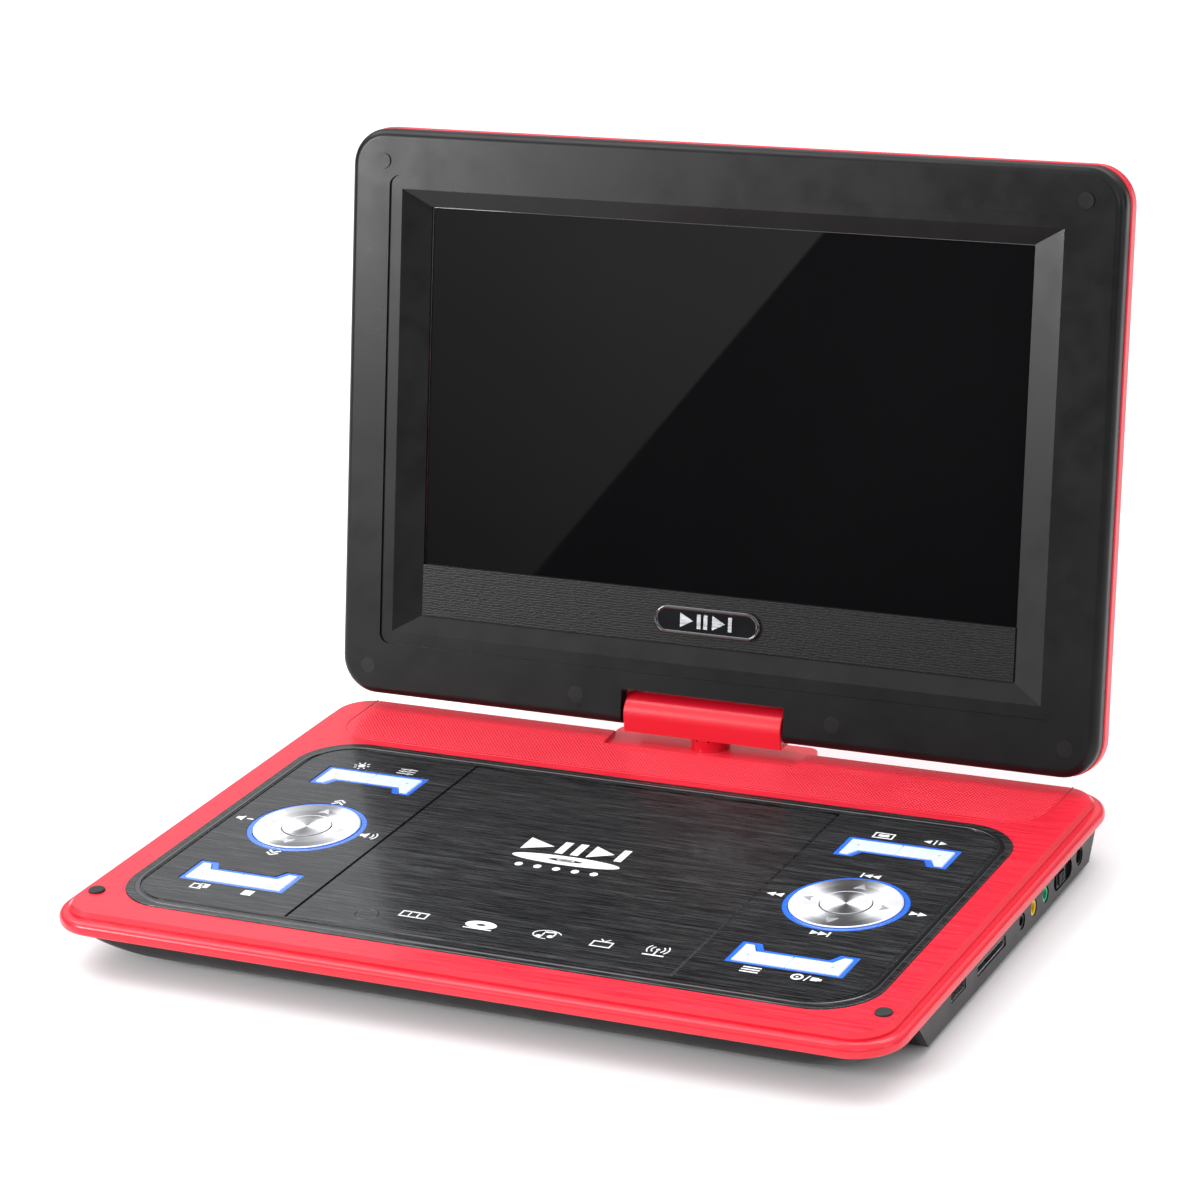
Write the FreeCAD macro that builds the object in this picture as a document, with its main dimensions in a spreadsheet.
import FreeCAD, Part
import math
import os
import Sketcher
from FreeCAD import Placement, Rotation, Vector

# Portable disc player with a swivelling, folding screen, in millimetres.
# X runs to the right, Y to the rear and Z up. The origin is on the surface that the feet stand on,
# under the middle of the base's outline.

doc = FreeCAD.newDocument("portable_disc_player")
sheet = doc.addObject("Spreadsheet::Sheet", "size")
finished = []


# ---------------------------------------------------------------- driving dimensions


class Size:
    """A number together with the sheet expression that gives it."""

    def __init__(self, value, text):
        self.value = value
        self.text = text

    def combine(self, other, sign, value):
        return Size(value, f"({self.text} {sign} {as_size(other).text})")

    def __add__(self, other):
        return self.combine(other, "+", self.value + as_size(other).value)

    def __sub__(self, other):
        return self.combine(other, "-", self.value - as_size(other).value)

    def __mul__(self, other):
        return self.combine(other, "*", self.value * as_size(other).value)

    def __truediv__(self, other):
        return self.combine(other, "/", self.value / as_size(other).value)

    def __radd__(self, other):
        return as_size(other) + self

    def __rsub__(self, other):
        return as_size(other) - self

    def __rmul__(self, other):
        return as_size(other) * self

    def __neg__(self):
        return Size(-self.value, f"(0 - {self.text})")


def as_size(number):
    return number if isinstance(number, Size) else Size(float(number), f"{number:.6g}")


def driving(name, value):
    """One driving dimension: a cell of the sheet with its alias."""
    cell = f"A{len(sheet.getUsedCells()) + 1}"
    sheet.set(cell, str(value))
    sheet.setAlias(cell, name)
    return Size(float(value), f"size.{name}")


# base casing
frame_shift = driving("frame_shift", -22.967)
base_width = driving("base_width", 324.4)
base_depth = driving("base_depth", 224.5)
base_corner = driving("base_corner", 18)
base_top = driving("base_top", 23.5)
lip_low = driving("lip_low", 16)
lip_step = driving("lip_step", 21.1)
lip_round = driving("lip_round", 2.6)
deck_inset = driving("deck_inset", 3.8)
deck_bevel = driving("deck_bevel", 1.4)
cover_skin = driving("cover_skin", 2)
cover_wall = driving("cover_wall", 6)
tub_floor = driving("tub_floor", 2)
tub_skin = driving("tub_skin", 1.6)
tub_waist_height = driving("tub_waist_height", 8.5)
tub_inset_rim = driving("tub_inset_rim", 4.5)
tub_inset_waist = driving("tub_inset_waist", 9.5)
tub_inset_floor = driving("tub_inset_floor", 21.5)
screw_x_front = driving("screw_x_front", 96)
screw_x_rear = driving("screw_x_rear", 70)
screw_y = driving("screw_y", 85)
foot_x = driving("foot_x", 116)
foot_y = driving("foot_y", 82)

# control deck
deck_y = driving("deck_y", -16)
plate_width = driving("plate_width", 292)
plate_depth = driving("plate_depth", 159)
plate_corner = driving("plate_corner", 22)
plate_top = driving("plate_top", 24)
plate_skin = driving("plate_skin", 1)
groove_inset = driving("groove_inset", 5)
groove_wide = driving("groove_wide", 1.2)
control_x = driving("control_x", 107.7)
ring_radius = driving("ring_radius", 22.2)
dial_radius = driving("dial_radius", 20)
button_radius = driving("button_radius", 9.1)
guide_wide = driving("guide_wide", 1.7)

# disc lid and drive
lid_width = driving("lid_width", 149.5)
lid_depth = driving("lid_depth", 144)
lid_skin = driving("lid_skin", 1.6)
lid_gap = driving("lid_gap", 0.4)
lid_pivot_y = driving("lid_pivot_y", 53.2)
lid_pivot_z = driving("lid_pivot_z", 21.6)
well_radius = driving("well_radius", 62.5)
well_floor = driving("well_floor", 17)
tray_top = driving("tray_top", 22.2)
disc_bore = driving("disc_bore", 7.5)
disc_seat = driving("disc_seat", 19)
rod_x = driving("rod_x", 19)
rod_z = driving("rod_z", 10.5)
rod_radius = driving("rod_radius", 1.5)
lens_start = driving("lens_start", 24)
screw_rod_x = driving("screw_rod_x", 27)
running_gap = driving("running_gap", 0.05)

# hinge
hinge_y = driving("hinge_y", 107.2)
hinge_z = driving("hinge_z", 32.9)
barrel_radius = driving("barrel_radius", 8)
barrel_width = driving("barrel_width", 66)
barrel_low = driving("barrel_low", 27.2)
recess_floor = driving("recess_floor", 22)
recess_front = driving("recess_front", 94.2)
turret_radius = driving("turret_radius", 7.5)
swivel_radius = driving("swivel_radius", 5)
pin_radius = driving("pin_radius", 2)
screen_lean = driving("screen_lean", 11.7)

# screen casing, measured from the hinge axis: across, up the screen, and back from the axis
screen_half = driving("screen_half", 158.5)
screen_low = driving("screen_low", -5)
screen_high = driving("screen_high", 219)
screen_corner = driving("screen_corner", 15)
screen_face = driving("screen_face", -8.05)
screen_back = driving("screen_back", 7.55)
seam_depth = driving("seam_depth", 3.5)
shell_rim = driving("shell_rim", 1.9)
rim_shown = driving("rim_shown", 0.5)
skirt_depth = driving("skirt_depth", 3.5)
shell_skin = driving("shell_skin", 1.8)
notch_half = driving("notch_half", 34)
notch_high = driving("notch_high", 9.5)
step_half = driving("step_half", 140.8)
step_low = driving("step_low", 16.3)
step_high = driving("step_high", 200.8)
step_deep = driving("step_deep", 0.8)
slope_half = driving("slope_half", 135.6)
slope_low = driving("slope_low", 21.4)
slope_high = driving("slope_high", 195.6)
window_half = driving("window_half", 123.8)
window_low = driving("window_low", 48.9)
window_high = driving("window_high", 189.1)
strip_low = driving("strip_low", 28.4)
window_deep = driving("window_deep", 3.8)
badge_high = driving("badge_high", 38.2)

# sockets along the right side
side_face = driving("side_face", 158.4)
panel_skin = driving("panel_skin", 3)
socket_z = driving("socket_z", 9.2)
power_y = driving("power_y", 79.7)
switch_y = driving("switch_y", 62.2)
audio_y = driving("audio_y", 44.2)
video_y = driving("video_y", 32.2)
phone_y = driving("phone_y", 20.2)
card_y = driving("card_y", -9.6)
card_wide = driving("card_wide", 26)
usb_y = driving("usb_y", -41)
usb_wide = driving("usb_wide", 12.6)
usb_high = driving("usb_high", 5.2)
plug_radius = driving("plug_radius", 1.8)


# ---------------------------------------------------------------- tools


def bind(thing, path, size):
    """Binds one property of a document object to the sheet."""
    thing.setExpression(path, as_size(size).text)


def place(thing, x, y, z, rotation=None):
    x, y, z = as_size(x), as_size(y), as_size(z)
    thing.Placement = Placement(Vector(x.value, y.value, z.value), rotation or Rotation())
    bind(thing, ".Placement.Base.x", x)
    bind(thing, ".Placement.Base.y", y)
    bind(thing, ".Placement.Base.z", z)


def box(x0, x1, y0, y1, z0, z1):
    made = doc.addObject("Part::Box", "box")
    bind(made, "Length", as_size(x1) - x0)
    bind(made, "Width", as_size(y1) - y0)
    bind(made, "Height", as_size(z1) - z0)
    place(made, x0, y0, z0)
    return made


ALONG = {"x": Rotation(Vector(0, 1, 0), 90), "y": Rotation(Vector(1, 0, 0), -90), "z": Rotation()}


def cylinder(x, y, z, radius, length, along="z"):
    """A cylinder whose lower end is centred on the point, and which runs along +X, +Y or +Z."""
    made = doc.addObject("Part::Cylinder", "cylinder")
    bind(made, "Radius", radius)
    bind(made, "Height", length)
    place(made, x, y, z, ALONG[along])
    return made


def cone(x, y, z, radius_low, radius_high, length):
    made = doc.addObject("Part::Cone", "cone")
    bind(made, "Radius1", radius_low)
    bind(made, "Radius2", radius_high)
    bind(made, "Height", length)
    place(made, x, y, z)
    return made


def fuse(*shapes):
    made = doc.addObject("Part::MultiFuse", "fuse")
    made.Shapes = list(shapes)
    return made


def group(*shapes):
    """Separate solids of the same kind that share one node."""
    made = doc.addObject("Part::Compound", "group")
    made.Links = list(shapes)
    return made


def cut(base, *tools):
    made = doc.addObject("Part::Cut", "cut")
    made.Base = base
    made.Tool = tools[0] if len(tools) == 1 else fuse(*tools)
    return made


def round_edges(base, radius, keep):
    """Part::Fillet on the edges of a boolean for which keep(edge) is true."""
    doc.recompute()
    made = doc.addObject("Part::Fillet", "fillet")
    made.Base = base
    picked = [n for n, edge in enumerate(base.Shape.Edges, 1) if keep(edge)]
    made.Edges = [(n, radius.value, radius.value) for n in picked]
    return made


def body(name):
    return doc.addObject("PartDesign::Body", name + "_body")


def sketch(owner, offset, plane="XY_Plane"):
    """A sketch on one of the body's own origin planes, raised by offset along its normal."""
    made = owner.newObject("Sketcher::SketchObject", "sketch")
    origin = next(f for f in owner.Origin.OriginFeatures if f.Role == plane)
    made.AttachmentSupport = [(origin, "")]
    made.MapMode = "FlatFace"
    bind(made, "AttachmentOffset.Base.z", offset)
    return made


def dimension(drawn, kind, size, *where):
    index = drawn.addConstraint(Sketcher.Constraint(kind, *where, as_size(size).value))
    drawn.setExpression(f"Constraints[{index}]", as_size(size).text)


def pin_point(drawn, geometry, end, x, y):
    """Ties one point of a sketch to its distances from the sketch's origin."""
    for kind, size, axis in (("DistanceX", as_size(x), -2), ("DistanceY", as_size(y), -1)):
        if abs(size.value) < 1e-9:
            drawn.addConstraint(Sketcher.Constraint("PointOnObject", geometry, end, axis))
        else:
            dimension(drawn, kind, size, -1, 1, geometry, end)


def outline(drawn, corners):
    """A closed run of straight lines through the corners."""
    corners = [(as_size(x), as_size(y)) for x, y in corners]
    points = [Vector(x.value, y.value, 0) for x, y in corners]
    first, count = drawn.GeometryCount, len(points)
    for n in range(count):
        drawn.addGeometry(Part.LineSegment(points[n], points[(n + 1) % count]), False)
    for n in range(count):
        following = first + (n + 1) % count
        drawn.addConstraint(Sketcher.Constraint("Coincident", first + n, 2, following, 1))
    for n, (x, y) in enumerate(corners):
        pin_point(drawn, first + n, 1, x, y)


def rectangle(drawn, x0, x1, y0, y1):
    outline(drawn, [(x0, y0), (x1, y0), (x1, y1), (x0, y1)])


def circle(drawn, x, y, radius):
    x, y, radius = as_size(x), as_size(y), as_size(radius)
    centre = Vector(x.value, y.value, 0)
    made = drawn.addGeometry(Part.Circle(centre, Vector(0, 0, 1), radius.value), False)
    dimension(drawn, "Radius", radius, made)
    pin_point(drawn, made, 3, x, y)


def rounded(drawn, x0, x1, y0, y1, radius):
    """A rectangle with four equal rounded corners."""
    x0, x1, y0, y1, radius = (as_size(s) for s in (x0, x1, y0, y1, radius))
    left, right, low, high, r = x0.value, x1.value, y0.value, y1.value, radius.value
    sides = [
        ((left + r, low), (right - r, low)),
        ((right, low + r), (right, high - r)),
        ((right - r, high), (left + r, high)),
        ((left, high - r), (left, low + r)),
    ]
    centres = [(right - r, low + r), (right - r, high - r), (left + r, high - r), (left + r, low + r)]
    first = drawn.GeometryCount
    for start, end in sides:
        drawn.addGeometry(Part.LineSegment(Vector(*start, 0), Vector(*end, 0)), False)
    for n, centre in enumerate(centres):
        bow = Part.Circle(Vector(*centre, 0), Vector(0, 0, 1), r)
        turn = math.pi / 2 * (n - 1)
        drawn.addGeometry(Part.ArcOfCircle(bow, turn, turn + math.pi / 2), False)
    for n in range(4):
        line, bow, following = first + n, first + 4 + n, first + (n + 1) % 4
        drawn.addConstraint(Sketcher.Constraint("Tangent", line, 2, bow, 1))
        drawn.addConstraint(Sketcher.Constraint("Tangent", bow, 2, following, 1))
        drawn.addConstraint(Sketcher.Constraint("Horizontal" if n % 2 == 0 else "Vertical", line))
        if n:
            drawn.addConstraint(Sketcher.Constraint("Equal", first + 4, bow))
    dimension(drawn, "Radius", radius, first + 4)
    dimension(drawn, "DistanceX", x1, -1, 1, first + 1, 1)
    dimension(drawn, "DistanceX", x0, -1, 1, first + 3, 1)
    dimension(drawn, "DistanceY", y0, -1, 1, first, 1)
    dimension(drawn, "DistanceY", y1, -1, 1, first + 2, 1)


def pad(owner, profile, length, reverse=False):
    made = owner.newObject("PartDesign::Pad", "pad")
    made.Profile = profile
    made.Reversed = reverse
    bind(made, "Length", length)
    doc.recompute()
    return made


def pocket(owner, profile, depth, reverse=False):
    """Cuts away from the sketch's normal, or along it if reversed, and insists that it cut something."""
    before = owner.Shape.Volume
    made = owner.newObject("PartDesign::Pocket", "pocket")
    made.Profile = profile
    made.Reversed = reverse
    bind(made, "Length", depth)
    doc.recompute()
    if owner.Shape.Volume > before - 0.1:
        raise RuntimeError(f"a pocket in {owner.Name} cuts nothing")
    return made


def dress(owner, kind, size, keep):
    """A PartDesign fillet or chamfer on the edges of the body's tip for which keep(edge) is true."""
    tip = owner.Tip
    names = [f"Edge{n}" for n, edge in enumerate(tip.Shape.Edges, 1) if keep(edge)]
    made = owner.newObject(f"PartDesign::{kind}", kind.lower())
    made.Base = (tip, names)
    bind(made, "Radius" if kind == "Fillet" else "Size", size)
    doc.recompute()
    return made


def at_height(z):
    """Picks the edges that lie in the horizontal plane at z."""
    level = as_size(z).value
    return lambda edge: edge.BoundBox.ZLength < 1e-4 and abs(edge.BoundBox.ZMin - level) < 1e-4


def upright(edge):
    """Picks straight edges that run along Z."""
    return edge.BoundBox.ZLength > 0.2 and edge.BoundBox.XLength + edge.BoundBox.YLength < 1e-4


def finish(label, made):
    """Names a finished sub-part, its label being its file's name, and moves it to the shared frame."""
    made.Label = label
    bind(made, ".Placement.Base.y", frame_shift)
    finished.append(made)
    return made


def finish_on_screen(label, made):
    """A finished sub-part of the screen, turned about the hinge axis to the screen's resting lean."""
    made.Label = label
    made.Placement = Placement(Vector(), Rotation(Vector(-1, 0, 0), screen_lean.value))
    bind(made, ".Placement.Base.y", hinge_y + frame_shift)
    bind(made, ".Placement.Base.z", hinge_z)
    bind(made, ".Placement.Rotation.Angle", screen_lean)
    finished.append(made)
    return made


half_width = base_width / 2
half_depth = base_depth / 2
BOTH = (-1, 1)


# ---------------------------------------------------------------- base casing


def base_rounded(drawn, inset, corner):
    rounded(drawn, inset - half_width, half_width - inset, inset - half_depth, half_depth - inset, corner)


def base_cover():
    """The red upper casing: a rounded lip, a raised deck with a bevelled edge, and a hinge boss."""
    made = body("base_cover")
    lip = sketch(made, lip_low)
    base_rounded(lip, as_size(0), base_corner)
    pad(made, lip, lip_step - lip_low)
    dress(made, "Fillet", lip_round, at_height(lip_step))
    dress(made, "Fillet", as_size(1.6), at_height(lip_low))
    boss = sketch(made, lip_low)
    rounded(boss, -42, 42, 80, boss_back, 5)
    pad(made, boss, recess_floor - lip_low)
    deck = sketch(made, lip_step - 0.01)
    base_rounded(deck, deck_inset, base_corner - deck_inset)
    pad(made, deck, base_top - lip_step + 0.01)
    dress(made, "Chamfer", deck_bevel, at_height(base_top))
    hollow = sketch(made, base_top - cover_skin)
    base_rounded(hollow, cover_wall, base_corner - cover_wall)
    pocket(made, hollow, base_top - cover_skin - lip_low)
    boss_hollow = sketch(made, recess_floor - cover_skin)
    rounded(boss_hollow, -40, 40, 82, boss_back - 2, 3)
    pocket(made, boss_hollow, recess_floor - cover_skin - lip_low)
    seat = sketch(made, base_top)
    plate_rounded(seat, as_size(-0.15))
    pocket(made, seat, base_top - plate_top + plate_skin)
    tray_hole = sketch(made, base_top)
    rectangle(tray_hole, -tray_half - 0.3, tray_half + 0.3, tray_front - 0.3, tray_rear + 0.3)
    pocket(made, tray_hole, cover_skin + 1)
    for side in BOTH:
        key_hole = sketch(made, base_top)
        rectangle(key_hole, side * control_x - 25, side * control_x + 23.6, deck_y - 58, deck_y + 58)
        pocket(made, key_hole, cover_skin + 1)
    recess = sketch(made, base_top + 1)
    outline(recess, [(-39.5, recess_front), (39.5, recess_front), (42.5, 120), (-42.5, 120)])
    pocket(made, recess, base_top + 1 - recess_floor)
    swivel_hole = sketch(made, base_top)
    circle(swivel_hole, 0, hinge_y, swivel_radius)
    pocket(made, swivel_hole, 5)
    posts = sketch(made, base_top - cover_skin)
    for x, y in screw_points():
        circle(posts, x, y, 3.5)
    pad(made, posts, base_top - cover_skin - lip_low, True)
    holes = sketch(made, lip_low)
    for x, y in screw_points():
        circle(holes, x, y, 1.25)
    pocket(made, holes, 4, True)
    bumper_seats = sketch(made, base_top)
    for side in BOTH:
        circle(bumper_seats, side * bumper_x, bumper_y, 3.05)
    pocket(made, bumper_seats, 0.8)
    return finish("base_cover", made)


def plate_rounded(drawn, inset):
    half_x, half_y = plate_width / 2 - inset, plate_depth / 2 - inset
    rounded(drawn, -half_x, half_x, deck_y - half_y, deck_y + half_y, plate_corner - inset)


def screw_points():
    front = [(side * screw_x_front, -screw_y) for side in BOTH]
    return front + [(side * screw_x_rear, screw_y) for side in BOTH]


def fascia_plate():
    """The black brushed plate round the lid, with a groove just inside its edge."""
    made = body("fascia_plate")
    plate = sketch(made, plate_top - plate_skin)
    plate_rounded(plate, as_size(0))
    pad(made, plate, plate_skin)
    dress(made, "Fillet", as_size(0.4), at_height(plate_top))
    lid_hole = sketch(made, plate_top)
    half = lid_width / 2 + lid_gap
    rectangle(lid_hole, -half, half, deck_y - lid_depth / 2 - lid_gap, deck_y + lid_depth / 2 + lid_gap + 0.5)
    pocket(made, lid_hole, plate_skin + 1)
    groove = sketch(made, plate_top)
    plate_rounded(groove, groove_inset)
    plate_rounded(groove, groove_inset + groove_wide)
    pocket(made, groove, 0.3)
    for side in BOTH:
        dial_hole = sketch(made, plate_top)
        circle(dial_hole, side * control_x, deck_y, ring_radius + 0.15)
        pocket(made, dial_hole, plate_skin + 1)
        for end in BOTH:
            key_hole = sketch(made, plate_top)
            outline(key_hole, bracket(side, end, -0.15))
            pocket(made, key_hole, plate_skin + 1)
    return finish("fascia_plate", made)


def base_tub():
    """The black lower casing: boat-shaped, with a square block for the sockets and one for the hinge."""
    made = body("base_tub")
    loft_tub(made, "AdditiveLoft", 0)
    inside = side_face - panel_skin
    side_block = sketch(made, 100, "YZ_Plane")
    outline(side_block, panel_profile(0))
    pad(made, side_block, inside - 100)
    hinge_block = sketch(made, 9)
    rounded(hinge_block, -42, 42, 70, boss_back, 5)
    pad(made, hinge_block, lip_low - 9)
    loft_tub(made, "SubtractiveLoft", tub_skin)
    side_hollow = sketch(made, inside, "YZ_Plane")
    outline(side_hollow, panel_profile(tub_skin.value))
    pocket(made, side_hollow, 65)
    panel_seat = sketch(made, inside, "YZ_Plane")
    outline(panel_seat, panel_profile(0))
    pocket(made, panel_seat, 8, True)
    hinge_hollow = sketch(made, lip_low)
    rounded(hinge_hollow, -40, 40, 60, boss_back - 2, 3)
    pocket(made, hinge_hollow, lip_low - 9 - tub_skin)
    pegs = sketch(made, tub_floor + 0.2)
    for x, y in ((97, -56), (97, 70), (144, -56), (136, 70)):
        circle(pegs, x, y, 2.5)
    pad(made, pegs, 2.4)
    bosses = sketch(made, tub_floor + 0.2)
    for x, y in screw_points():
        circle(bosses, x, y, 4)
    pad(made, bosses, lip_low - tub_floor - 0.3)
    shank_holes = sketch(made, lip_low)
    for x, y in screw_points():
        circle(shank_holes, x, y, 1.25)
    pocket(made, shank_holes, lip_low)
    head_holes = sketch(made, 0)
    for x, y in screw_points():
        circle(head_holes, x, y, 2.7)
    pocket(made, head_holes, tub_floor + 1.4, True)
    return finish("base_tub", made)


def loft_tub(made, kind, skin):
    """One boat-shaped loft through three rounded rectangles: the tub's outside, or its hollow."""
    floor = tub_floor + skin
    levels = [
        (floor, tub_inset_floor, 30),
        (tub_waist_height + skin / 4, tub_inset_waist, 22),
        (lip_low + (0.01 if skin else 0), tub_inset_rim, 14),
    ]
    drawn = []
    for height, inset, corner in levels:
        level = sketch(made, height)
        base_rounded(level, inset + skin, as_size(corner - skin if skin == 0 else corner - 1.6))
        drawn.append(level)
    doc.recompute()
    loft = made.newObject(f"PartDesign::{kind}", "loft")
    loft.Profile = drawn[0]
    loft.Sections = drawn[1:]
    doc.recompute()


def connector_panel():
    """The upright black wall on the right that carries the sockets."""
    made = body("connector_panel")
    wall = sketch(made, side_face - panel_skin, "YZ_Plane")
    outline(wall, panel_profile(0))
    pad(made, wall, panel_skin)
    dress(made, "Fillet", as_size(0.8), lambda edge: abs(edge.BoundBox.XMin - side_face.value) < 1e-4
          and edge.BoundBox.XLength < 1e-4 and edge.BoundBox.ZMax < 15)
    for y, radius in ((power_y, 3.5), (audio_y, 3.1), (video_y, 3.1), (phone_y, 3.1)):
        hole = sketch(made, side_face, "YZ_Plane")
        circle(hole, y, socket_z, radius)
        pocket(made, hole, panel_skin + 1)
    dish = sketch(made, side_face, "YZ_Plane")
    rounded(dish, switch_y - 9.5, switch_y + 9.5, socket_z - 3.6, socket_z + 3.6, 3.5)
    pocket(made, dish, 1.6)
    slot = sketch(made, side_face, "YZ_Plane")
    rectangle(slot, switch_y - 5.5, switch_y + 5.5, socket_z - 1.2, socket_z + 1.2)
    pocket(made, slot, panel_skin + 1)
    card = sketch(made, side_face, "YZ_Plane")
    rectangle(card, card_y - card_wide / 2 - 0.6, card_y + card_wide / 2 + 0.6, socket_z - 2, socket_z + 2)
    pocket(made, card, panel_skin + 1)
    usb = sketch(made, side_face, "YZ_Plane")
    rectangle(usb, usb_y - usb_wide / 2 - 0.5, usb_y + usb_wide / 2 + 0.5,
              usb_z - usb_high / 2 - 0.5, usb_z + usb_high / 2 + 0.5)
    pocket(made, usb, panel_skin + 1)
    return finish("connector_panel", made)


def panel_profile(inset):
    """The side view of the socket block, as (y, z) corners, drawn smaller by inset but open at the top."""
    low, top = tub_floor + 0.2 + inset * 0.87, lip_low - 0.05
    rear = [(90 - inset * 0.6, low), (96 - inset, 9.6 + inset * 0.2), (99 - inset * 1.1, top)]
    return [(panel_front + inset * 1.3, top), (panel_front + 11 + inset * 0.5, low)] + rear


def feet_and_screws():
    pads = []
    for x in BOTH:
        for y in BOTH:
            block = box(x * foot_x - 9, x * foot_x + 9, y * foot_y - 4, y * foot_y + 4, 0, tub_floor)
            corners = round_edges(block, as_size(3), upright)
            pads.append(round_edges(corners, as_size(0.5), at_height(0)))
    finish("rubber_feet", group(*pads))
    screws = []
    for x, y in screw_points():
        head = cylinder(x, y, tub_floor + 0.2, 2.5, 1.2)
        shank = cylinder(x, y, tub_floor + 1.3, 1.2, 16.4)
        slot = box(x - 1.8, x + 1.8, y - 0.3, y + 0.3, tub_floor, tub_floor + 0.7)
        cross = box(x - 0.3, x + 0.3, y - 1.8, y + 1.8, tub_floor, tub_floor + 0.7)
        screws.append(cut(fuse(head, shank), slot, cross))
    finish("base_screws", group(*screws))
    bumpers = [cylinder(side * bumper_x, bumper_y, base_top - 0.8, 3, 1.7) for side in BOTH]
    top = base_top + 0.9
    finish("base_bumpers", group(*[round_edges(disc, as_size(0.5), at_height(top)) for disc in bumpers]))


# ---------------------------------------------------------------- controls


def bracket(side, end, inset):
    """The bracket that two keys share. It bows away from the dial; inset moves its outline inwards."""
    wide, tall, foot, bar = 21.6 - inset, 55.2 - inset, 38.6 + inset, 43.2 + inset
    shoulder_low, shoulder_high = 14.4 + inset, 12 + inset
    half = [(wide, tall), (wide, foot), (shoulder_low, foot), (shoulder_high, bar)]
    points = [(x, y) for x, y in half] + [(-x, y) for x, y in reversed(half)]
    return [(side * control_x + x, deck_y + end * y) for x, y in points]


def half_bracket(side, end, hand, inset, split):
    """One key: half of the bracket, cut at its middle."""
    wide, tall, foot, bar = 21.6 - inset, 55.2 - inset, 38.6 + inset, 43.2 + inset
    shoulder_low, shoulder_high = 14.4 + inset, 12 + inset
    points = [(split, tall), (wide, tall), (wide, foot),
              (shoulder_low, foot), (shoulder_high, bar), (split, bar)]
    return [(side * control_x + hand * x, deck_y + end * y) for x, y in points]


def key(label, side, end, hand):
    made = body(label)
    top = sketch(made, key_low)
    outline(top, half_bracket(side, end, hand, 2.0, 0.2))
    pad(made, top, key_top - key_low)
    dress(made, "Fillet", as_size(0.3), at_height(key_top))
    stem = sketch(made, key_low)
    circle(stem, side * control_x + hand * 10, deck_y + end * 49, 1.5)
    pad(made, stem, 1.5, True)
    return finish(label, made)


def light_guides():
    """Clear blue frames round the keys and rings round the dials, hung on a flange under the plate."""
    guides = []
    for side in BOTH:
        for end in BOTH:
            made = body("guide")
            flange = sketch(made, key_low - 0.4)
            outline(flange, bracket(side, end, -1))
            pad(made, flange, plate_top - plate_skin - key_low + 0.35)
            frame = sketch(made, key_low - 0.4)
            outline(frame, bracket(side, end, 0))
            pad(made, frame, plate_top - 0.3 - key_low + 0.4)
            hollow = sketch(made, plate_top)
            outline(hollow, bracket(side, end, guide_wide.value))
            pocket(made, hollow, 5)
            guides.append(made)
        ring = cylinder(side * control_x, deck_y, key_low - 0.4,
                        ring_radius, plate_top - 0.15 - key_low + 0.4)
        flange = cylinder(side * control_x, deck_y, key_low - 0.4, ring_radius + 1,
                          plate_top - plate_skin - key_low + 0.35)
        bore = cylinder(side * control_x, deck_y, key_low - 1, dial_radius + 0.35, 5)
        guides.append(cut(fuse(ring, flange), bore))
    return finish("light_guides", group(*guides))


def dial(label, side):
    """A spun metal ring that rocks four ways, gently dished, with a round hole for the middle button."""
    made = body(label)
    profile = sketch(made, 0, "XZ_Plane")
    inner, low = button_radius + 0.4, plate_top - 1.6
    outline(profile, [(inner, low), (dial_radius, low), (dial_radius, plate_top + 0.3),
                      (dial_radius - 0.4, plate_top + 0.6), (dial_radius - 5, plate_top + 0.35),
                      (inner + 0.4, plate_top + 0.45), (inner, plate_top + 0.25)])
    turned = made.newObject("PartDesign::Revolution", "turned")
    turned.Profile = profile
    turned.ReferenceAxis = (profile, ["V_Axis"])
    turned.Angle = 360
    place(made, side * control_x, deck_y, 0)
    finish(label, made)
    bind(made, ".Placement.Base.y", deck_y + frame_shift)


def dial_button(label, side):
    x = side * control_x
    cap = cylinder(x, deck_y, plate_top - 1.8, button_radius, 2.5)
    dish = cone(x, deck_y, plate_top + 0.45, 2, 8, 0.3)
    stem = cylinder(x, deck_y, switch_top + 0.6, 1.5, plate_top - 1.8 - switch_top - 0.5)
    return finish(label, fuse(cut(cap, dish), stem))


def dial_pad(label, side):
    """The silicone pad that the dial rocks on."""
    x = side * control_x
    ring = cylinder(x, deck_y, switch_top + 1, 15, 1.1)
    legs = []
    for turn in range(4):
        angle = math.radians(90 * turn)
        legs.append(cylinder(x + 13 * math.cos(angle), deck_y + 13 * math.sin(angle),
                             switch_top + 0.6, 2.5, 1.2))
    bore = cylinder(x, deck_y, switch_top, button_radius + 0.6, 4)
    return finish(label, cut(fuse(ring, *legs), bore))


def key_boards():
    """A circuit board under each bank of keys, with a switch below every stem."""
    boards = []
    for side in BOTH:
        x = side * control_x
        pieces = [box(x - 22, x + 22, deck_y - 55, deck_y + 55, board_top - 1, board_top)]
        spots = [(hand * 10, end * 49) for hand in BOTH for end in BOTH]
        spots += [(0, 0), (13, 0), (-13, 0), (0, 13), (0, -13)]
        for dx, dy in spots:
            pieces.append(box(x + dx - 2, x + dx + 2, deck_y + dy - 2, deck_y + dy + 2,
                              board_top, switch_top))
        boards.append(fuse(*pieces))
    return finish("key_boards", group(*boards))


# ---------------------------------------------------------------- disc drive


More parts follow.
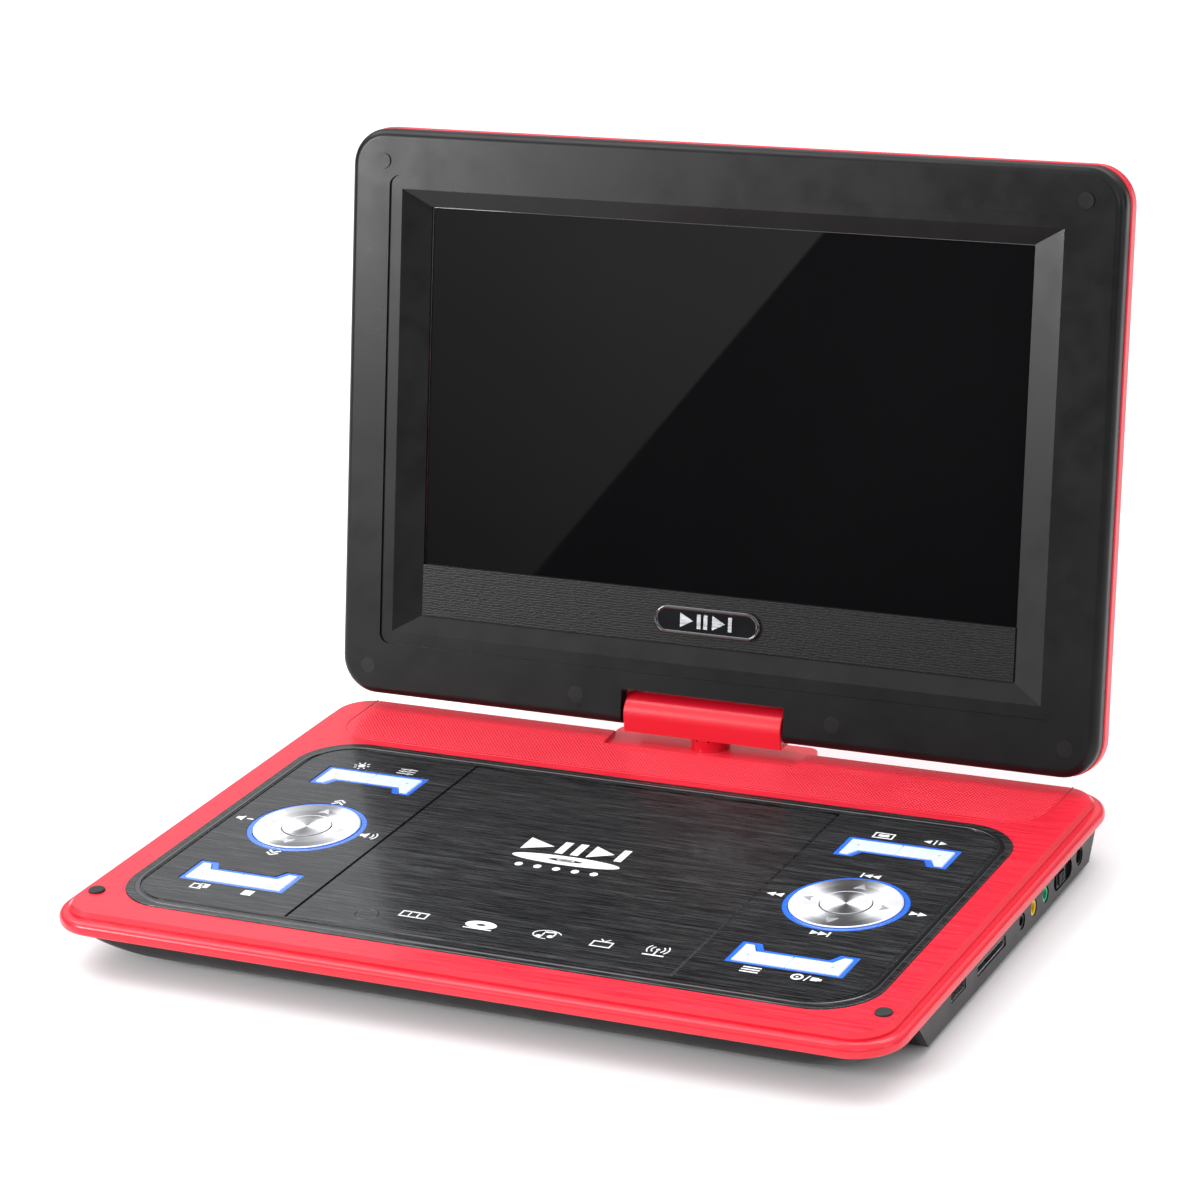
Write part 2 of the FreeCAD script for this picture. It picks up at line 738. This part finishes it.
def disc_lid():
    """The brushed lid over the disc, with its pivot ears, pins and hook moulded on."""
    made = body("disc_lid")
    half = lid_width / 2
    slab = sketch(made, plate_top - lid_skin)
    rectangle(slab, -half, half, deck_y - lid_depth / 2, deck_y + lid_depth / 2)
    pad(made, slab, lid_skin)
    dress(made, "Fillet", as_size(0.8), upright)
    rear = deck_y + lid_depth / 2
    dress(made, "Chamfer", as_size(0.8), lambda edge: abs(edge.BoundBox.YMin - rear.value) < 1e-4
          and abs(edge.BoundBox.YMax - rear.value) < 1e-4 and edge.BoundBox.ZMin > plate_top.value - 0.01)
    ears = sketch(made, plate_top - lid_skin)
    for side in BOTH:
        x0, x1 = sorted((side * 69, side * 71.4))
        rectangle(ears, x0, x1, lid_pivot_y - 1.6, lid_pivot_y + 1.6)
    pad(made, ears, plate_top - lid_skin - lid_pivot_z + 1.6, True)
    for side in BOTH:
        pin = sketch(made, side * 71 * as_size(1), "YZ_Plane")
        circle(pin, lid_pivot_y, lid_pivot_z, 0.8)
        pad(made, pin, 6.3, side < 0)
    hook = sketch(made, plate_top - lid_skin)
    rectangle(hook, catch_x - 3, catch_x + 3, catch_y - 1.2, catch_y + 1.2)
    pad(made, hook, 7.5, True)
    return finish("disc_lid", made)


def disc_tray():
    """The black well that the disc lies in, with pivot bosses for the lid."""
    block = box(-tray_half, tray_half, tray_front, tray_rear, well_floor - 1.5, tray_top)
    cuts = [
        cylinder(0, deck_y, well_floor, well_radius, 10),
        cylinder(0, deck_y, well_floor - 5, 16, 10),
        box(-8.5, 8.5, deck_y + 10, deck_y + 65.3, well_floor - 5, well_floor + 0.1),
        box(-75.2, 75.2, 50, 57.6, well_floor + 1.5, tray_top + 1),
        box(catch_x - 4.2, catch_x + 4.2, catch_y - 3.4, catch_y + 3.4, well_floor - 5, tray_top + 1),
    ]
    for side in BOTH:
        for end in BOTH:
            x0, x1 = sorted((side * 50, side * 77))
            y0, y1 = sorted((end * 41, end * 73))
            cuts.append(box(x0, x1, deck_y + y0, deck_y + y1, well_floor - 5, tray_top - 1.5))
    ears = []
    for side in BOTH:
        x0, x1 = sorted((side * 75.3, side * 78.4))
        ears.append(box(x0, x1, lid_pivot_y - 2, lid_pivot_y + 2,
                        well_floor - 1, plate_top - plate_skin - 0.05))
    pins = [cylinder(side * 77 - 2.5, lid_pivot_y, lid_pivot_z, 0.85, 5, "x") for side in BOTH]
    slots = []
    for side in BOTH:
        x0, x1 = sorted((side * 68, side * 75.25))
        slots.append(box(x0, x1, lid_pivot_y - 3.4, 57.6, well_floor - 5, tray_top + 1))
    return finish("disc_tray", cut(fuse(cut(block, *cuts, *slots), *ears), *pins))


def lid_catch():
    """The push catch that holds the lid's hook."""
    case = box(catch_x - 5.5, catch_x + 5.5, catch_y - 5, catch_y + 5, tub_floor + tub_skin + 0.05, 15.3)
    mouth = box(catch_x - 3.6, catch_x + 3.6, catch_y - 1.9, catch_y + 1.9, 13.2, 16)
    return finish("lid_catch", cut(case, mouth))


def deck_chassis():
    """The drive's frame: a plate with two pairs of upright ears for the rods and the screw."""
    plate = box(-46, 46, -48, 62, chassis_low, chassis_top)
    window = box(-15, 15, 1, 52, chassis_low - 1, chassis_top + 1)
    dampers = [cylinder(x * 41, y, chassis_low - 1, 2.6, 5) for x in BOTH for y in (-43, 57)]
    ears = []
    for y in (rods_front, rods_rear - 2):
        for x0, x1 in ((-rod_x - 3, -rod_x + 3), (rod_x - 3, screw_rod_x + 3)):
            ears.append(box(x0, x1, y, y + 2, chassis_top - 0.2, rod_z + 3.2))
    holes = [cylinder(side * rod_x, rods_front - 1, rod_z, rod_radius, 80, "y") for side in BOTH]
    holes.append(cylinder(screw_rod_x, rods_front - 1, rod_z, 1 + running_gap, 80, "y"))
    motor_seat = cylinder(0, deck_y, chassis_low - 1, 3, 4)
    return finish("deck_chassis", cut(fuse(cut(plate, window, *dampers, motor_seat), *ears), *holes))


def drive_parts():
    rods = [cylinder(side * rod_x, rods_front, rod_z, rod_radius, rods_rear - rods_front, "y")
            for side in BOTH]
    finish("guide_rods", group(*rods))
    bushes = []
    for x in BOTH:
        for y in (-43, 57):
            foot = cylinder(x * 41, y, tub_floor + tub_skin, 4, chassis_low - tub_floor - tub_skin)
            neck = cylinder(x * 41, y, chassis_low - 0.1, 2.5, chassis_top - chassis_low + 0.2)
            bushes.append(fuse(foot, neck, cylinder(x * 41, y, chassis_top, 4, 1.2)))
    finish("deck_dampers", group(*bushes))
    stator = cylinder(0, deck_y, chassis_top, 11, 7)
    finish("spindle_motor", cut(stator, cylinder(0, deck_y, chassis_top - 1, 1 + running_gap, 9)))
    can = cylinder(screw_rod_x, rods_rear, rod_z, 4.5, 13, "y")
    finish("sled_motor", cut(can, cylinder(screw_rod_x, rods_rear - 1, rod_z, 1 + running_gap, 8, "y")))
    thread = cylinder(screw_rod_x, rods_front + 2.3, rod_z, 1.6, rods_rear - rods_front - 4.6, "y")
    shaft = cylinder(screw_rod_x, rods_front + 0.2, rod_z, 1, rods_rear - rods_front + 5, "y")
    finish("lead_screw", fuse(thread, shaft))
    shaft = cylinder(0, deck_y, chassis_top + 0.6, 1, 10)
    rotor = cylinder(0, deck_y, chassis_top + 7.3, 12.5, 2.2)
    disc = cylinder(0, deck_y, chassis_top + 9.4, 15, disc_seat - 0.4 - chassis_top - 9.4)
    nose = cylinder(0, deck_y, disc_seat - 0.5, disc_bore - running_gap, 2.1)
    tip = cone(0, deck_y, disc_seat + 1.6, disc_bore - running_gap, 5, 0.9)
    finish("turntable", fuse(shaft, rotor, disc, nose, tip))
    mat = cylinder(0, deck_y, disc_seat - 0.4, 14.5, 0.4)
    finish("turntable_mat", cut(mat, cylinder(0, deck_y, disc_seat - 1, 8.5, 3)))


def pickup():
    """The optical pickup on its two rods, with the lens nearest the hub."""
    y = deck_y + lens_start
    sled = box(-rod_x - 3, rod_x, y - 11, y + 11, rod_z - 3, rod_z + 3.8)
    fork = box(rod_x - 1, screw_rod_x - 2.1, y - 5, y + 5, rod_z - 3, rod_z + 3.8)
    head = box(-7, 7, y - 7, y + 6.4, rod_z + 3.7, rod_z + 5.7)
    bore = cylinder(-rod_x, y - 12, rod_z, rod_radius + running_gap, 30, "y")
    slot = box(rod_x - 1.85, screw_rod_x, y - 12, y + 12, rod_z - 1.85, rod_z + 1.85)
    finish("pickup_sled", cut(fuse(sled, fork, head), bore, slot))
    lens = cylinder(0, y, rod_z + 5.7, 3.2, 1)
    finish("pickup_lens", round_edges(lens, as_size(0.7), at_height(rod_z + 6.7)))


# ---------------------------------------------------------------- electronics


def electronics():
    battery = box(-136, -84, -74, 60, 3.65, 15.2)
    finish("battery_pack", round_edges(battery, as_size(2.5), lambda edge: edge.BoundBox.YLength > 100))
    chips = [
        box(92, 150, -62, 76, 4.6, main_top),
        box(100, 118, 10, 28, main_top, main_top + 1.8),
        box(100, 114, -30, -16, main_top, main_top + 1.8),
        box(122, 134, -60, -48, main_top, main_top + 3),
        box(124, 134, 30, 52, main_top, main_top + 4),
    ]
    chips += [cylinder(128, y, main_top, 3.5, 7) for y in (-24, -14, 4)]
    chips.append(box(138, 150, 75, 86, 4.6, main_top))
    finish("main_board", fuse(*chips))
    speakers = []
    for side in BOTH:
        magnet = cylinder(side * 115, 88, 13.2, 8, 3.4)
        frame = cone(side * 115, 88, 16.5, 8, 15, 4)
        flange = cylinder(side * 115, 88, 20.4, 16, 1)
        dish = cone(side * 115, 88, 19.3, 7, 13.2, 2.2)
        speakers.append(cut(fuse(magnet, frame, flange), dish))
    finish("speakers", group(*speakers))


def jack(y, radius, hole, depth):
    """A barrel jack: a block on the board with a round collar through the side panel."""
    block = box(145, side_face - panel_skin - 0.1, y - radius - 1, y + radius + 1,
                main_top, socket_z + radius + 0.4)
    collar = cylinder(side_face - panel_skin - 1, y, socket_z, radius, panel_skin + 0.6, "x")
    bore = cylinder(side_face - depth, y, socket_z, hole, depth + 1, "x")
    return cut(fuse(block, collar), bore)


def sockets():
    power = jack(power_y, as_size(3.3), 2.75, 11)
    tip = cylinder(side_face - 11.5, power_y, socket_z, 0.85, 9.5, "x")
    finish("dc_jack", fuse(power, tip))
    finish("jack_audio", jack(audio_y, as_size(2.9), plug_radius, jack_depth))
    finish("jack_video", jack(video_y, as_size(2.9), plug_radius, jack_depth))
    finish("jack_phone", jack(phone_y, as_size(2.9), plug_radius, jack_depth))
    half, high = usb_wide / 2, usb_high / 2
    shell = box(side_face - 14, side_face - 0.4, usb_y - half - 0.4, usb_y + half + 0.4,
                usb_z - high - 0.4, usb_z + high + 0.4)
    mouth = box(side_face - 13, side_face + 1, usb_y - half, usb_y + half, usb_z - high, usb_z + high)
    tongue = box(side_face - 13.5, side_face - 5.4, usb_y - half + 0.6, usb_y + half - 0.6,
                 usb_z + 0.2, usb_z + 2)
    legs = box(side_face - 14, side_face - 10, usb_y - half, usb_y + half, main_top, usb_z - high - 0.3)
    finish("usb_socket", fuse(cut(shell, mouth), tongue, legs))
    half = card_wide / 2
    case = box(side_face - 25, side_face - 0.5, card_y - half - 0.5, card_y + half + 0.5,
               socket_z - 1.8, socket_z + 1.8)
    slit = box(side_face - 24, side_face + 1, card_y - half + 0.5, card_y + half - 0.5,
               socket_z - 1.2, socket_z + 1.2)
    finish("card_socket", cut(case, slit))
    body_block = box(146, side_face - panel_skin - 0.1, switch_y - 7, switch_y + 7, main_top, socket_z + 3)
    track = box(150, side_face, switch_y - 5.5, switch_y + 5.5, socket_z - 1.2, socket_z + 1.2)
    finish("power_switch", cut(body_block, track))
    knob_y = switch_y - switch_travel / 2
    stem = box(151, side_face - 1, knob_y - 2, knob_y + 2, socket_z - 0.9, socket_z + 0.9)
    knob = box(side_face - 1.4, side_face - 0.1, knob_y - 4.5, knob_y + 4.5, socket_z - 2.8, socket_z + 2.8)
    ribs = [box(side_face - 0.2, side_face + 0.5, knob_y + dy - 0.35, knob_y + dy + 0.35,
                socket_z - 2.2, socket_z + 2.2) for dy in (-2.4, -0.8, 0.8, 2.4)]
    finish("power_slider", fuse(stem, knob, *ribs))


# ---------------------------------------------------------------- hinge


def swivel():
    collar = cylinder(0, hinge_y, recess_floor + 0.1, turret_radius, barrel_low - recess_floor - 0.1)
    shaft = cylinder(0, hinge_y, 15.2, swivel_radius - running_gap, recess_floor - 15)
    nut = cylinder(0, hinge_y, 15.2, 7.2, 1.2)
    bore = cylinder(0, hinge_y, 14, 3, 20)
    screws = [cylinder(x, hinge_y - turret_radius + 1.1, barrel_low - 1.1, 0.8, 1.1) for x in (-2.2, 2.2)]
    finish("hinge_turret", cut(fuse(collar, shaft, nut), bore, *screws))
    plate = box(-26, 26, hinge_y - 15, hinge_y + 6.6, 18, 19.9)
    finish("swivel_plate", cut(plate, cylinder(0, hinge_y, 17, swivel_radius, 4)))
    washer = cylinder(0, hinge_y, 16.6, 7.2, 1.2)
    finish("friction_washer", cut(washer, cylinder(0, hinge_y, 16, swivel_radius, 3)))


def hinge_barrel():
    """The red housing of the screen's hinge: a half-round top on straight walls."""
    half = barrel_width / 2
    top = cylinder(-half, hinge_y, hinge_z, barrel_radius, barrel_width, "x")
    walls = box(-half, half, hinge_y - barrel_radius, hinge_y + barrel_radius, barrel_low, hinge_z)
    below = box(-half - 1, half + 1, hinge_y - 9, hinge_y + 9, barrel_low - 6, barrel_low)
    solid = cut(fuse(top, walls), below)
    solid.Refine = True
    outer = round_edges(solid, as_size(0.5), lambda edge: edge.BoundBox.XLength < 1e-4
                        and edge.BoundBox.ZLength > 1)
    inner = barrel_radius - 1.8
    hollow = cylinder(2 - half, hinge_y, hinge_z, inner, barrel_width - 4, "x")
    room = box(2 - half, half - 2, hinge_y - inner, hinge_y + inner, barrel_low + 1.6, hinge_z)
    ends = cylinder(-half - 1, hinge_y, hinge_z, pin_radius + 0.35, barrel_width + 2, "x")
    wires = cylinder(0, hinge_y, barrel_low - 1, 3, 4)
    finish("hinge_barrel", cut(outer, hollow, room, ends, wires))
    clutches = []
    for x0 in (11, -29):
        drum = cylinder(x0, hinge_y, hinge_z, 5.2, 18, "x")
        stand = box(x0, x0 + 18, hinge_y - 3.5, hinge_y + 3.5, barrel_low + 1.6, hinge_z)
        bore = cylinder(x0 - 1, hinge_y, hinge_z, pin_radius + running_gap, 20, "x")
        clutches.append(cut(fuse(drum, stand), bore))
    finish("tilt_clutches", group(*clutches))


# ---------------------------------------------------------------- screen


def screen_box(across0, across1, up0, up1, back0, back1):
    return box(across0, across1, back0, back1, up0, up1)


def screen_sketch(made, back):
    """A sketch in the plane of the screen: its X is across and its Y is up the screen."""
    return sketch(made, -as_size(back), "XZ_Plane")


def display_shell():
    """The red back of the screen: a shallow tray with a rounded back, notched for the hinge."""
    made = body("display_shell")
    seam = screen_face + seam_depth + skirt_depth
    slab = screen_sketch(made, screen_back)
    rounded(slab, -screen_half, screen_half, screen_low, screen_high, screen_corner)
    pad(made, slab, screen_back - seam)
    dress(made, "Fillet", as_size(4.5), lambda edge: edge.BoundBox.YLength < 1e-4
          and abs(edge.BoundBox.YMin - screen_back.value) < 1e-4)
    dress(made, "Fillet", as_size(0.7), lambda edge: edge.BoundBox.YLength < 1e-4
          and abs(edge.BoundBox.YMin - seam.value) < 1e-4)
    hollow = screen_sketch(made, seam)
    inner, low, high = screen_half - shell_rim, screen_low + shell_rim, screen_high - shell_rim
    rounded(hollow, -inner, inner, low, high, screen_corner - shell_rim)
    pocket(made, hollow, screen_back - shell_skin - seam)
    wall_front = screen_face + 5
    hinge_wall = screen_sketch(made, wall_front)
    rectangle(hinge_wall, -notch_half - 2, notch_half + 2, screen_low + 2.5, notch_high + 2)
    pad(made, hinge_wall, screen_back - shell_skin - wall_front + 0.2, True)
    notch = screen_sketch(made, wall_front - 1)
    rectangle(notch, -notch_half, notch_half, screen_low - 1, notch_high)
    pocket(made, notch, screen_back - wall_front + 2)
    pin_holes = sketch(made, -notch_half - 3, "YZ_Plane")
    circle(pin_holes, 0, 0, pin_radius + 0.1)
    pocket(made, pin_holes, 2 * notch_half + 6, True)
    return finish_on_screen("display_shell", made)


def display_bezel():
    """The black front frame: a stepped recess slopes down to the picture, ribs divide its back, and a
    skirt round its edge meets the shell."""
    made = body("display_bezel")
    seam, back = screen_face + seam_depth, screen_face + 4.9
    inset = rim_shown
    front = screen_sketch(made, seam)
    rounded(front, inset - screen_half, screen_half - inset, screen_low + inset, screen_high - inset,
            screen_corner - inset)
    pad(made, front, seam_depth)
    dress(made, "Fillet", seam_depth - 0.2, lambda edge: edge.BoundBox.YLength < 1e-4
          and abs(edge.BoundBox.YMin - screen_face.value) < 1e-4)
    tongue = screen_sketch(made, back)
    far = shell_rim + 0.3
    rounded(tongue, far - screen_half, screen_half - far,
            screen_low + far, screen_high - far, screen_corner - far)
    pad(made, tongue, back - seam)
    skirt = screen_sketch(made, seam + skirt_depth)
    for edge in (inset, shell_rim):
        rounded(skirt, edge - screen_half, screen_half - edge, screen_low + edge, screen_high - edge,
                screen_corner - edge)
    pad(made, skirt, skirt_depth)
    step = screen_sketch(made, screen_face)
    rounded(step, -step_half, step_half, step_low, step_high, 4)
    pocket(made, step, step_deep)
    slope_top = screen_sketch(made, screen_face + step_deep)
    rectangle(slope_top, -slope_half, slope_half, slope_low, slope_high)
    slope_end = screen_sketch(made, screen_face + window_deep)
    rectangle(slope_end, -window_half, window_half, strip_low, window_high)
    doc.recompute()
    slope = made.newObject("PartDesign::SubtractiveLoft", "slope")
    slope.Profile = slope_top
    slope.Sections = [slope_end]
    doc.recompute()
    window = screen_sketch(made, screen_face)
    rectangle(window, -window_half, window_half, window_low, window_high)
    pocket(made, window, 6)
    notch = screen_sketch(made, screen_face - 1)
    rectangle(notch, -notch_half, notch_half, screen_low - 1, notch_high)
    pocket(made, notch, 9)
    bands = [
        (-153.2, -137.4, -0.6, 214.4),
        (137.4, 153.2, -0.6, 214.4),
        (-136.6, 136.6, 202.4, 214.4),
        (-136.6, -35.8, -0.6, 15.3),
        (35.8, 136.6, -0.6, 15.3),
    ]
    for x0, x1, low, high in bands:
        band = screen_sketch(made, back)
        rectangle(band, x0, x1, low, high)
        pocket(made, band, 2.9, True)
    plugs = screen_sketch(made, screen_face)
    for x, up, radius, _ in face_plugs():
        circle(plugs, x, up, radius + 0.05)
    pocket(made, plugs, 1)
    return finish_on_screen("display_bezel", made)


def face_plugs():
    """The bezel's round inserts: across, up, radius, and how far each stands out."""
    corners = [(side * 145.8, 6.8, 3.2, 0) for side in BOTH]
    middles = [(side * 53.7, 5.2, 3.2, 0) for side in BOTH]
    return corners + middles + [(side * 143.6, 206.1, 3.0, 0.5) for side in BOTH]


def screen_parts():
    panel_face = screen_face + 4.95
    panel = screen_box(-128, 128, window_low - 3.4, window_high + 3.4, panel_face, panel_face + 3.6)
    finish_on_screen("lcd_panel", group(panel))
    board_back = panel_face + 4.6
    pieces = [
        screen_box(-70, 70, 52, 96, board_back - 0.9, board_back + 0.5),
        screen_box(-20, 0, 62, 82, board_back + 0.5, board_back + 2.2),
        screen_box(16, 40, 60, 74, board_back + 0.5, board_back + 3),
        screen_box(-56, -38, 58, 88, board_back + 0.5, board_back + 2.6),
    ]
    finish_on_screen("driver_board", fuse(*pieces))
    floor = screen_face + window_deep
    strip = screen_box(-window_half + 0.2, window_half - 0.2,
                       strip_low + 0.2, window_low - 0.1, floor - 0.6, floor)
    finish_on_screen("screen_strip", group(strip))
    badge_back, half = floor - 0.6, 5.5
    core = screen_box(-16.5, 16.5, badge_high - half, badge_high + half, badge_back - 1.2, badge_back)
    ends = [cylinder(side * 16.5, badge_back - 1.2, badge_high, half, 1.2, "y") for side in BOTH]
    pill = fuse(core, *ends)
    pill.Refine = True
    front = (badge_back - 1.2).value
    finish_on_screen("badge", round_edges(pill, as_size(0.9), lambda edge: edge.BoundBox.YLength < 1e-4
                                          and abs(edge.BoundBox.YMin - front) < 1e-4))
    discs = [cylinder(x, screen_face - out, up, radius, out + 0.95, "y")
             for x, up, radius, out in face_plugs()]
    finish_on_screen("display_plugs", group(*discs))


def tilt_brackets():
    """The steel leaves fixed inside the screen, each with the pin that turns in the hinge barrel."""
    made = []
    for side in BOTH:
        x0, x1 = sorted((side * 36.3, side * 42))
        knuckle = cylinder(x0, 0, 0, 3, x1 - x0, "x")
        start = min(side * 13, side * 40)
        pin = cylinder(start, 0, 0, pin_radius, 27, "x")
        x0, x1 = sorted((side * 36.3, side * 66))
        leaf = screen_box(x0, x1, -2.6, 20, 2.8, 4.6)
        made.append(fuse(knuckle, pin, leaf))
    finish_on_screen("tilt_brackets", group(*made))


# ---------------------------------------------------------------- shared places

boss_back = hinge_y + 9.8
bumper_x, bumper_y = as_size(151.8), as_size(-90)
panel_front = as_size(-79.5)
usb_z = socket_z + 2.3
key_top = plate_top + 0.1
key_low = plate_top - 2.1
board_top = as_size(18.6)
switch_top = board_top + 1.2
tray_half = as_size(78.5)
tray_front, tray_rear = deck_y - 74.5, deck_y + 76
catch_x, catch_y = as_size(-58), as_size(-82.5)
chassis_low, chassis_top = as_size(4.6), as_size(5.8)
rods_front, rods_rear = as_size(-9), as_size(57)
main_top = as_size(6)
jack_depth = as_size(14)
switch_travel = as_size(4)

KEYS = (
    ("key_backlight", -1, 1, -1),
    ("key_setup", -1, 1, 1),
    ("key_copy", -1, -1, -1),
    ("key_stop", -1, -1, 1),
    ("key_mode", 1, 1, -1),
    ("key_sound", 1, 1, 1),
    ("key_menu", 1, -1, -1),
    ("key_source", 1, -1, 1),
)

# ---------------------------------------------------------------- build

base_cover()
fascia_plate()
base_tub()
connector_panel()
feet_and_screws()
for label, side, end, hand in KEYS:
    key(label, side, end, hand)
light_guides()
key_boards()
for place_name, side in (("left", -1), ("right", 1)):
    dial(f"dial_{place_name}", side)
    dial_button(f"dial_button_{place_name}", side)
    dial_pad(f"dial_pad_{place_name}", side)
disc_lid()
disc_tray()
lid_catch()
deck_chassis()
drive_parts()
pickup()
electronics()
sockets()
swivel()
hinge_barrel()
display_shell()
display_bezel()
screen_parts()
tilt_brackets()
doc.recompute()

for thing in doc.Objects:
    if "Invalid" in thing.State or "Error" in thing.State:
        raise RuntimeError(f"{thing.Label} did not recompute: {thing.State}")
os.makedirs("parts", exist_ok=True)
for thing in finished:
    shape = thing.Shape
    if shape.isNull() or not shape.isValid() or not shape.Solids:
        raise RuntimeError(f"{thing.Label} has no valid solid")
    shape.exportStep(f"parts/{thing.Label}.step")
    print(f"{thing.Label}: {len(shape.Solids)} solids, {shape.Volume / 1000:.2f} cm3")
print(len(finished), "sub-parts")
